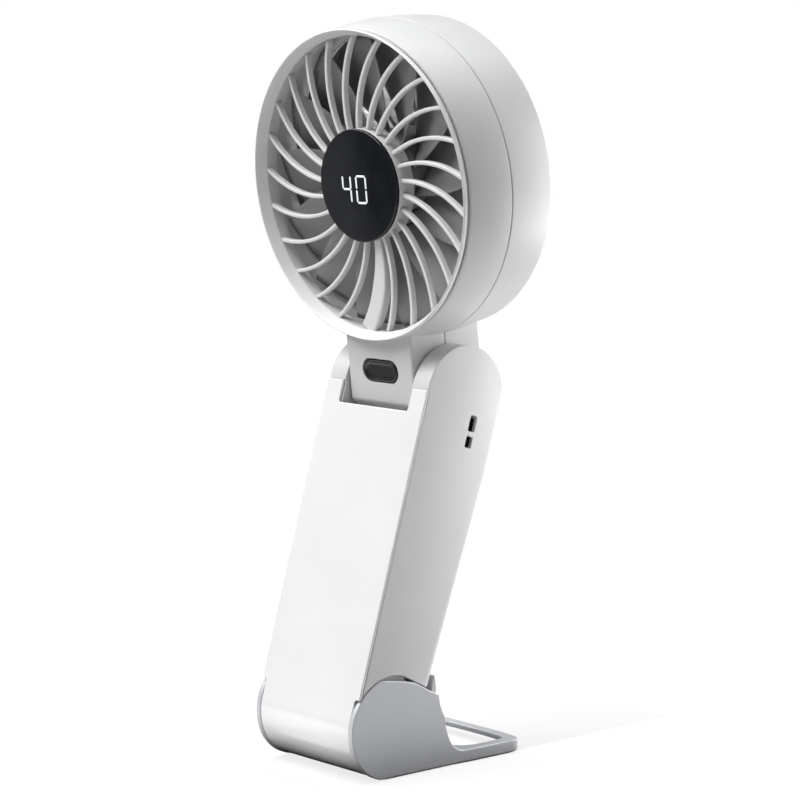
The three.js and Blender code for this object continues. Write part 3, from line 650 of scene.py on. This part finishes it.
def handle_side():
    """Side outline: a round ear on top, and an arc over the base's cheek below."""
    front_u = math.sqrt(SIDE_CLEAR**2 - SHELL_FRONT**2)
    drop = SHOULDER_U - HINGE_U
    lip = math.sqrt(EAR_R**2 - drop**2)
    low = math.degrees(math.acos(1.2 / SIDE_CLEAR))
    stretch = (BACK - HINGE_M) / EAR_R
    return [
        (SHELL_FRONT, SHOULDER_U),
        *arc((HINGE_M, HINGE_U), EAR_R, math.degrees(math.atan2(drop, -lip)) + 360, 90, 28),
        *[(HINGE_M + (m - HINGE_M) * stretch, u) for m, u in arc((HINGE_M, HINGE_U), EAR_R, 87, 0, 29)],
        (BACK, 12.42),
        *arc((0, 0), SIDE_CLEAR, low, math.degrees(math.atan2(front_u, SHELL_FRONT)), 24),
    ]


def wrap_room():
    end = WRAP_END + 2
    outline = [
        (-20, 20), (SHELL_FRONT, 20),
        *arc((0, 0), -SHELL_FRONT, 180, end, 48),
        *arc((0, 0), 20, end, 180, 12),
    ]
    return prism(outline, -30, 30, "X")


def neck_room():
    drop = LEDGE_U - HINGE_U
    start = math.degrees(math.atan2(drop, -math.sqrt(NECK_SWEEP**2 - drop**2))) + 360
    outline = [
        (-30, LEDGE_U),
        *arc((HINGE_M, HINGE_U), NECK_SWEEP, start, 270, 24),
        (30, HINGE_U - NECK_SWEEP), (30, 130), (-30, 130),
    ]
    return prism(outline, -EAR_IN, EAR_IN, "X")


def handle_shell():
    outer = common(
        skin([handle_section(u, 0) for u in (4, TAPER_U, 120)]), prism(handle_side(), -30, 30, "X"))
    hollow = skin([handle_section(u, WALL) for u in (17.2, TAPER_U, 79.4)])
    barrel = cut(rod(BARREL_R, -BARREL_HALF, BARREL_HALF, along="X", sides=ROUND), wrap_room())
    root = block(-BARREL_HALF, BARREL_HALF, SHELL_FRONT, 3, 6, 16)
    body = join(cut(outer, hollow), barrel, root)
    bar = block(19.7, 20.8, 4, 9, 85.9, 87.5)
    eye = cut(prism(rectangle(*EYE, 0.6), EYE_FLOOR, 25, "X"), bar)
    behind_bar = block(EYE_FLOOR, 19.4, *EYE_ROOM)
    port = prism(stadium(9.6, 3.8, 0, USB_U), 8, 20, "Y")
    return cut(body, neck_room(), eye, behind_bar, port, *lower_nicks(-16, -12.4, 4.6, 5.9))


def front_plate():
    """The gloss plate and its wrap round the barrel, in one sheet with a notch for the neck."""
    top = SHOULDER_U - SEAM
    outline = [
        (FRONT, top), *arc((0, 0), BARREL_R, 180, WRAP_END, 72),
        *arc((0, 0), BARREL_R - PLATE_T, WRAP_END, 180, 72), (FRONT + PLATE_T, top),
    ]
    sheet = prism(outline, -HANDLE_HALF, HANDLE_HALF, "X")
    reach = BARREL_HALF + GAP - SEAM
    cheeks = [rod(SIDE_CLEAR, a, b, along="X", sides=ROUND) for a, b in ((-30, -reach), (reach, 30))]
    notch = rounded(
        [(-NOTCH_HALF, NOTCH_U), (NOTCH_HALF, NOTCH_U), (NOTCH_HALF, 120), (-NOTCH_HALF, 120)],
        [0.6, 0.6, 0, 0])
    return cut(sheet, *cheeks, prism(notch, -30, 0, "Y"), *lower_nicks(-16, -12, 3, 5.9))


def usb_receptacle():
    """Gives the receptacle's shell, and how far back its mouth is."""
    back = handle_back(USB_U) - 0.4
    shell = cut(
        prism(stadium(9.0, 3.2, 0, USB_U), 5.9, back, "Y"),
        prism(stadium(8.4, 2.6, 0, USB_U), 6.9, back + 1, "Y"))
    return shell, back


def make_handle():
    piece("handle_shell_form", handle_shell(), "handle", SHELL, edge=0.25)
    piece("front_plate_form", front_plate(), "handle", PLATE, edge=0.3)
    y0, y1, z0, z1 = EYE_ROOM
    # A thin black sheet on the floor of the lanyard eye's room: painted shade that stands in for the dark of a
    # deeper hole into the hollow handle.
    painted_shade_sheet = block(EYE_FLOOR + 0.02, EYE_FLOOR + 0.2, y0 + SEAM, y1 - SEAM, z0 + SEAM, z1 - SEAM)
    piece("handle_shell_eye_painted_shade", painted_shade_sheet, "handle", BLACK_PART, replaces=["handle_shell"])
    shell, back = usb_receptacle()
    piece("usb_receptacle_form", shell, "handle", STEEL, edge=0.08)
    tongue = prism(rectangle(-3.3, 3.3, USB_U - 0.35, USB_U + 0.35, 0.2), 6.5, back - 0.8, "Y")
    piece("usb_tongue", tongue, "handle", BLACK_PART, replaces=["usb_receptacle"])


# ---------------------------------------------------------------- head housings


FRONT_BOW = 0.0089
REAR_BOW = 0.0039


def housing_radius(depth):
    """The housings' outer radius: widest at the parting line, and drawn in to both ends."""
    bow = FRONT_BOW if depth < PARTING else REAR_BOW
    return HEAD_R - bow * (depth - PARTING) ** 2


def neck_side(inset, top):
    """Side outline of the neck: flat in front down to an edge, and round under the hinge."""
    middle = NECK_BACK - NECK_ROUND
    return [
        (NECK_FRONT + inset, top), (NECK_FRONT + inset, HINGE_Z - 1.2),
        *arc((middle, HINGE_Z), NECK_ROUND - inset, 180 + NECK_EDGE, 360, 48), (NECK_BACK - inset, top),
    ]


NECK_SCREWS = ((-9.4, -49.2), (9.4, -49.2), (0.0, -70.6))


def neck_skin():
    blank = prism(neck_side(0, NECK_TOP), -NECK_HALF, NECK_HALF, "X")
    settle(bevelled(blank, 0.7, 4, 40))
    room = prism(neck_side(SKIN, -46.6), SKIN - NECK_HALF, NECK_HALF - SKIN, "X")
    return cut(blank, room, rod(DUCT_R + 0.6, -5, 40, sides=ROUND))


def ring_profile(low, high, steps=14):
    """A housing's section from depth low to high: the duct's wall inside, the bowed skin outside."""
    depths = [low + (high - low) * i / steps for i in range(steps + 1)]
    return [(DUCT_R, high), (DUCT_R, low)] + [(housing_radius(d), d) for d in depths]


def bush_holes():
    return [rod(4.3, a, b, (HINGE_Y, HINGE_Z), "X") for a, b in ((-14.5, -11.5), (11.5, 14.5))]


def front_housing():
    ring = turned(ring_profile(HOUSING_FRONT, PARTING - GAP / 2))
    neck = common(neck_skin(), block(-60, 60, -10, PARTING - GAP / 2, -90, 60))
    body = join(ring, neck)
    return cut(body, prism(stadium(*CAP_HOLE, 0, BUTTON_Z), 0, 8, "Y"), *bush_holes())


def rear_housing():
    profile = ring_profile(PARTING + GAP / 2, HEAD_DEPTH)
    ring = turned(rounded(profile, [0] * (len(profile) - 1) + [0.9], 6))
    neck = common(neck_skin(), block(-60, 60, PARTING + GAP / 2, 60, -90, 60))
    body = join(ring, neck)
    sinks = [rod(2.0, 24, 40, at) for at in NECK_SCREWS]
    posts = [rod(2.9, PARTING + GAP / 2, 25, at) for at in NECK_SCREWS]
    return cut(join(body, *posts), *sinks, *bush_holes())


def cross_screw(at, head_from, head_to, tip):
    """A pan-head screw with a cross recess, its head towards the back."""
    head_r, shank_r, crown_r = 1.7, 0.75, 0.45
    crown = arc((head_r - crown_r, head_to - crown_r), crown_r, 0, 90, 5)
    body = turned(
        [(0, tip), (0.5, tip), (shank_r, tip + 0.6), (shank_r, head_from), (head_r, head_from), *crown,
         (0, head_to)], at, sides=32)
    x, z = at
    slots = [
        block(x - w, x + w, head_to - 0.6, head_to + 1, z - h, z + h)
        for w, h in ((0.95, 0.2), (0.2, 0.95))]
    return cut(body, *slots)


def make_housings():
    piece("front_housing_form", front_housing(), "head", SHELL, edge=0.2)
    piece("rear_housing_form", rear_housing(), "head", SHELL, edge=0.2)
    for i, at in enumerate(NECK_SCREWS):
        screw = cross_screw(at, 24.3, 26.0, 10)
        piece(f"neck_screw_{i + 1}_form", screw, "head", STEEL, edge=0.05)


# ---------------------------------------------------------------- grilles and display


def polar(r, degrees):
    return r * math.cos(math.radians(degrees)), r * math.sin(math.radians(degrees))


def rib_line(rim_angle, start, end, steps):
    points = []
    for i in range(steps + 1):
        t = i / steps
        points.append(polar(start + (end - start) * t, rim_angle + RIB_SWEEP * (1 - t**1.36)))
    return points


def rib(line, width_at, front, back, crown):
    """A strip along a line in the head's face, with a rounded front edge."""
    rings = []
    for i, (x, z) in enumerate(line):
        ax, az = line[max(i - 1, 0)]
        bx, bz = line[min(i + 1, len(line) - 1)]
        across = Vector((-(bz - az), bx - ax)).normalized()
        half = width_at(i / (len(line) - 1)) / 2
        section = rounded(
            [(-half, back), (half, back), (half, front), (-half, front)], [0.1, 0.1, crown, crown], 4)
        rings.append([(x + across.x * a, d, z + across.y * a) for a, d in section])
    return skin(rings)


LENS_BACK = 2.3
RIB_END = 42.7


def front_grille():
    lip = turned(rounded(
        [(42.35, RIB_DEPTH), (43.9, 0.3), (44.15, 0.0), (LIP_R, 0.3), (LIP_R, LIP_BACK),
         (43.2, LIP_BACK + 0.1), (43.2, 7), (42.35, 7)],
        [1.0, 0.25, 0.15, 0.15, 0.15, 0.1, 0.1, 0.1], 4), sides=192)
    rim = LENS_BACK + SEAM
    hub = turned(rounded(
        [(14.6, rim), (HUB_R, rim), (HUB_R, 8.2), (0, 8.2), (0, 6.8), (14.6, 6.8)],
        [0.1, 0.1, 0.3, 0, 0, 0.2], 4), sides=128)
    strips = []
    for i in range(round(360 / RIB_PITCH)):
        angle = RIB_PHASE - i * RIB_PITCH
        if i == SPOKE_SLOT:
            line = rib_line(angle + 2, HUB_R - 0.6, RIB_END, 24)
            strips.append(rib(line, lambda t: 2.6 + 2.6 * min(1, 2 * t), RIB_DEPTH + 0.5, 6.4, 0.5))
        else:
            line = rib_line(angle, HUB_R - 0.6, RIB_END, 20)
            strips.append(rib(line, lambda t: 1.1, RIB_DEPTH, 5.0, 0.35))
    return gather(lip, hub, *strips)


REAR_RIBS = 32
REAR_RINGS = ((41.8, 43.2), (34.6, 35.8), (25.4, 26.6))
MOTOR_SCREWS = [polar(10, a) for a in (90, 210, 330)]


def rear_grille():
    rings = [turned(rectangle(a, b, 31.0, 33.1, 0.4, 4)) for a, b in REAR_RINGS]
    hub = turned(rounded([(0, 30.4), (16.5, 30.4), (16.5, 33.1), (0, 33.1)], [0, 0.3, 0.7, 0], 5), sides=96)
    hub = cut(hub, *[rod(2.0, 31.7, 40, at) for at in MOTOR_SCREWS])
    bars = []
    for i in range(REAR_RIBS):
        bar = prism(rectangle(-0.6, 0.6, 26.95, 32.95, 0.35, 4), 15.5, 42.3, "Z")
        bar.data.transform(Matrix.Rotation((i + 0.5) * math.tau / REAR_RIBS + math.pi / 2, 4, "Y"))
        bars.append(bar)
    return gather(hub, *rings, *bars)


SEGMENT_W = 0.6
SEGMENT_INSET = 0.12


def segment(x0, z0, x1, z1):
    """One lit bar of a digit, with pointed ends. It stands a little proud of the lens."""
    start, end = Vector((x0, z0)), Vector((x1, z1))
    along = (end - start).normalized()
    start, end = start + along * SEGMENT_INSET, end - along * SEGMENT_INSET
    across = Vector((-along.y, along.x)) * SEGMENT_W / 2
    tip = along * SEGMENT_W / 2
    outline = [
        start, start + tip + across, end - tip + across,
        end, end - tip - across, start + tip - across,
    ]
    return prism([tuple(p) for p in outline], 1.07, 1.5, "Y")


def digit(x0, x1, z0, z1, lit):
    """A seven-bar digit. Bars are lettered a to g, clockwise from the top, g in the middle."""
    middle = (z0 + z1) / 2
    bars = {
        "a": (x0, z1, x1, z1), "b": (x1, z1, x1, middle), "c": (x1, middle, x1, z0), "d": (x0, z0, x1, z0),
        "e": (x0, z0, x0, middle), "f": (x0, middle, x0, z1), "g": (x0, middle, x1, middle),
    }
    return [segment(*bars[letter]) for letter in lit]


def make_grilles():
    piece("front_grille_form", front_grille(), "head", GRILLE)
    piece("rear_grille_form", rear_grille(), "head", GRILLE)
    for i, at in enumerate(MOTOR_SCREWS):
        screw = cross_screw(at, 32.0, 32.9, 28.0)
        piece(f"motor_screw_{i + 1}_form", screw, "head", STEEL, edge=0.05)
    lens = turned(
        rounded([(0, 1.1), (HUB_R, 1.22), (HUB_R, LENS_BACK), (0, LENS_BACK)], [0, 0.4, 0.05, 0], 5),
        sides=128)
    piece("display_lens_form", lens, "head", LENS)
    digits = gather(*digit(-6.3, -3.0, -4.8, 2.8, "bcfg"), *digit(-0.5, 3.4, -4.8, 2.8, "abcdef"))
    piece("display_digits", digits, "head", SEGMENTS, replaces=["display_lens"])


# ---------------------------------------------------------------- button


CAP = (14.6, 6.2)
CAP_HOLE = (15.2, 6.8)
FLANGE = (17.6, 8.9)
BUTTON_STEPS = (  # inset from the cap's outline, and depth
    (0.0, 6.4), (0.0, 3.75), (0.1, 3.45), (0.3, 3.3), (0.6, 3.25), (0.9, 3.32), (1.2, 3.6), (1.5, 3.66),
    (2.5, 3.62),
)


def power_button():
    """A stadium cap with a softly dished face, and its flange behind the neck's skin."""
    rings = []
    for inset, depth in BUTTON_STEPS:
        outline = stadium(CAP[0] - 2 * inset, CAP[1] - 2 * inset, 0, BUTTON_Z)
        rings.append([(x, depth, z) for x, z in outline])
    cap = skin(rings)
    flange = prism(stadium(*FLANGE, 0, BUTTON_Z), NECK_FRONT + SKIN + GAP, 6.8, "Y")
    return gather(cap, flange, rod(1.2, 6, 8, (0, BUTTON_Z)))


# ---------------------------------------------------------------- impeller

BLADES = 13
IMPELLER_R = 41.8
IMPELLER_HUB_R = 14.5
BLADE_SWEEP = 16  # degrees that the tip leads the root by
BLADE_SPAN = 50  # degrees that a blade wraps round its axis
BLADE_FRONT = 9.2
BLADE_RISE = 10.5
BLADE_CAMBER = 1.4
BLADE_TIP_FORWARD = 1.4
BLADE_EDGE = 0.15  # half its thickness at the edges
BLADE_SWELL = 0.45
BLADE_ROOT = IMPELLER_HUB_R - 0.6


def blade(turn):
    """A helical sheet from the hub to the tip, swept forward, thick in the middle and fine at its edges."""
    across, along = 16, 20
    rings = []
    for i in range(across + 1):
        t = i / across
        r = BLADE_ROOT + (IMPELLER_R - BLADE_ROOT) * t
        front, back = [], []
        for j in range(along + 1):
            s = j / along
            angle = turn + BLADE_SWEEP * t + BLADE_SPAN * (s - 0.5)
            rise = BLADE_RISE * s + BLADE_CAMBER * math.sin(math.pi * s)
            depth = BLADE_FRONT - BLADE_TIP_FORWARD * t + rise
            half = BLADE_EDGE + BLADE_SWELL * math.sin(math.pi * s) ** 0.5
            x, z = polar(r, angle)
            front.append((x, depth - half, z))
            back.append((x, depth + half, z))
        rings.append(front + back[::-1])
    return skin(rings)


def impeller():
    hub = turned(rounded(
        [(1.8, 9.3), (12.4, 9.3), (IMPELLER_HUB_R, 11.4), (IMPELLER_HUB_R, 24), (13.4, 24), (13.4, 10.8),
         (1.8, 10.8)], [0.2, 1.5, 1.5, 0.3, 0.3, 0.5, 0.1], 5), sides=96)
    return gather(hub, *[blade(i * 360 / BLADES + 12) for i in range(BLADES)])


# ---------------------------------------------------------------- floor, light and camera

MIDDLE = Vector((0, 0, 0.11))  # the object's, in metres


def floor():
    """A pale floor that fades into the white backdrop.

    To the object it is dim close by, where a real floor would be in the object's own shade, and a bright
    ring of it shows in reflections.
    """
    data = bpy.data.meshes.new("floor")
    rim = [(*polar(3, 360 * i / 96), 0) for i in range(96)]
    data.from_pydata(rim, [], [tuple(range(96))])
    body = bpy.data.objects.new("floor", data)
    bpy.context.scene.collection.objects.link(body)
    look = Look("floor", Roughness=0.9, Specular_IOR_Level=0.1)
    look.colours(look.noise(300.0), (0.86, 0.86, 0.87), (0.88, 0.88, 0.88))
    distance = look.node("ShaderNodeVectorMath", operation="LENGTH")
    look.link(look.place, distance.inputs[0])
    distance = distance.outputs["Value"]
    bounce = look.node("ShaderNodeBsdfDiffuse")
    shade = look.ranged(distance, 0.04, 0.5, 0.03, 0.2)
    look.link(shade, bounce.inputs["Color"])
    white = look.node("ShaderNodeEmission")
    whiteness = look.ranged(distance, 0.8, 1.0, 0.05, 0.22)
    seen = look.mixed(whiteness, look.shader.outputs["BSDF"], white.outputs[0])
    rays = look.node("ShaderNodeLightPath").outputs
    is_seen, is_mirrored = rays["Is Camera Ray"], rays["Is Glossy Ray"]
    shine = look.node("ShaderNodeEmission")
    glow = look.node("ShaderNodeMath", operation="MULTIPLY")
    look.link(look.ranged(distance, 0.0, 1.7, 0.037, 0.06), glow.inputs[0])
    look.link(look.ranged(distance, 1.0, 0.25, 0.13, 0.35), glow.inputs[1])
    look.link(glow.outputs["Value"], shine.inputs["Strength"])
    unseen = look.mixed(is_mirrored, bounce.outputs["BSDF"], shine.outputs[0])
    shown = look.mixed(is_seen, unseen, seen)
    look.link(shown, look.tree.nodes["Material Output"].inputs["Surface"])
    data.materials.append(look.material)


def card(name, corners, first, second):
    """A studio card, black or white, that the camera doesn't see."""
    data = bpy.data.meshes.new(name)
    data.from_pydata(corners, [], [(0, 1, 2, 3)])
    body = bpy.data.objects.new(name, data)
    body.visible_camera = body.visible_shadow = False
    bpy.context.scene.collection.objects.link(body)
    look = Look(name, Roughness=1.0, Specular_IOR_Level=0.0)
    look.colours(look.noise(300.0), first, second)
    data.materials.append(look.material)
    return body


def flag(name, centre, toward, width, height):
    """A standing black card that shows in reflections only."""
    across = Vector((-toward[1], toward[0], 0)).normalized() * width / 2
    low, high = Vector((*centre, 0)), Vector((*centre, height))
    body = card(name, [low - across, low + across, high + across, high - across], (0, 0, 0), (0.004,) * 3)
    body.visible_diffuse = False


def reflector(name, x0, x1, y0, y1):
    """A white card that lies on the floor."""
    corners = [(x * MM, y * MM, 0.2 * MM) for x, y in ((x0, y0), (x1, y0), (x1, y1), (x0, y1))]
    card(name, corners, (0.88,) * 3, (0.92,) * 3)


def softbox(name, azimuth, elevation, distance, size, power):
    """A square lamp on a sphere round the object. Azimuth 0 is in front of it and 90 on its +X side."""
    a, e = math.radians(azimuth), math.radians(elevation)
    toward = Vector((math.sin(a) * math.cos(e), -math.cos(a) * math.cos(e), math.sin(e)))
    data = bpy.data.lights.new(name, "AREA")
    data.shape = "RECTANGLE"
    data.size, data.size_y = size
    data.energy = power
    lamp = bpy.data.objects.new(name, data)
    lamp.location = MIDDLE + toward * distance
    lamp.visible_camera = False
    lamp.rotation_mode = "QUATERNION"
    lamp.rotation_quaternion = toward.to_track_quat("Z", "Y")
    bpy.context.scene.collection.objects.link(lamp)


def sky(strength):
    """A dim even studio that shows as plain white behind the object."""
    world = bpy.data.worlds.new("studio")
    world.use_nodes = True
    tree = world.node_tree
    room = tree.nodes["Background"]
    room.inputs["Color"].default_value = (0.93, 0.95, 1.0, 1)
    room.inputs["Strength"].default_value = strength
    backdrop = tree.nodes.new("ShaderNodeBackground")
    backdrop.inputs["Color"].default_value = (1, 1, 1, 1)
    paths = tree.nodes.new("ShaderNodeLightPath")
    mix = tree.nodes.new("ShaderNodeMixShader")
    tree.links.new(paths.outputs["Is Camera Ray"], mix.inputs["Fac"])
    tree.links.new(room.outputs["Background"], mix.inputs[1])
    tree.links.new(backdrop.outputs["Background"], mix.inputs[2])
    tree.links.new(mix.outputs["Shader"], tree.nodes["World Output"].inputs["Surface"])
    bpy.context.scene.world = world


def camera():
    data = bpy.data.cameras.new("camera")
    data.sensor_width = 36.0
    data.lens = 118.46
    view = bpy.data.objects.new("camera", data)
    place = Vector((560.73, -510.51, 191.77)) * MM
    target = Vector((0.0, 1.85, 105.0)) * MM
    back = (place - target).normalized()
    right = Vector((0, 0, 1)).cross(back).normalized()
    up = back.cross(right)
    roll = math.radians(0.64)
    right, up = (right * math.cos(roll) + up * math.sin(roll), up * math.cos(roll) - right * math.sin(roll))
    turn = Matrix((right, up, back)).transposed().to_4x4()
    view.matrix_world = Matrix.Translation(place) @ turn
    bpy.context.scene.collection.objects.link(view)
    bpy.context.scene.camera = view


# ---------------------------------------------------------------- the scene

paint_cad_nodes()
make_base()
make_handle()
make_housings()
make_grilles()
piece("power_button_form", power_button(), "button", BUTTON)
piece("impeller_form", impeller(), "rotor", BLADES_GREY)
floor()
sky(0.08)
softbox("key", -38, 52, 1.6, (1.6, 1.3), 44)
softbox("rim", 158, 3, 0.34, (0.2, 0.35), 1.45)
softbox("fill", 80, 35, 1.5, (1.2, 1.2), 1.5)
softbox("top", 160, 70, 1.3, (1.0, 1.0), 7.5)
flag("flag", (-0.355, -0.515), (-0.766, -0.643), 0.3, 0.12)
reflector("front_card", -24, 20, -95, -37)
reflector("rear_card", -30, 20, 30, 100)
camera()
bpy.context.scene.view_settings.view_transform = "Standard"
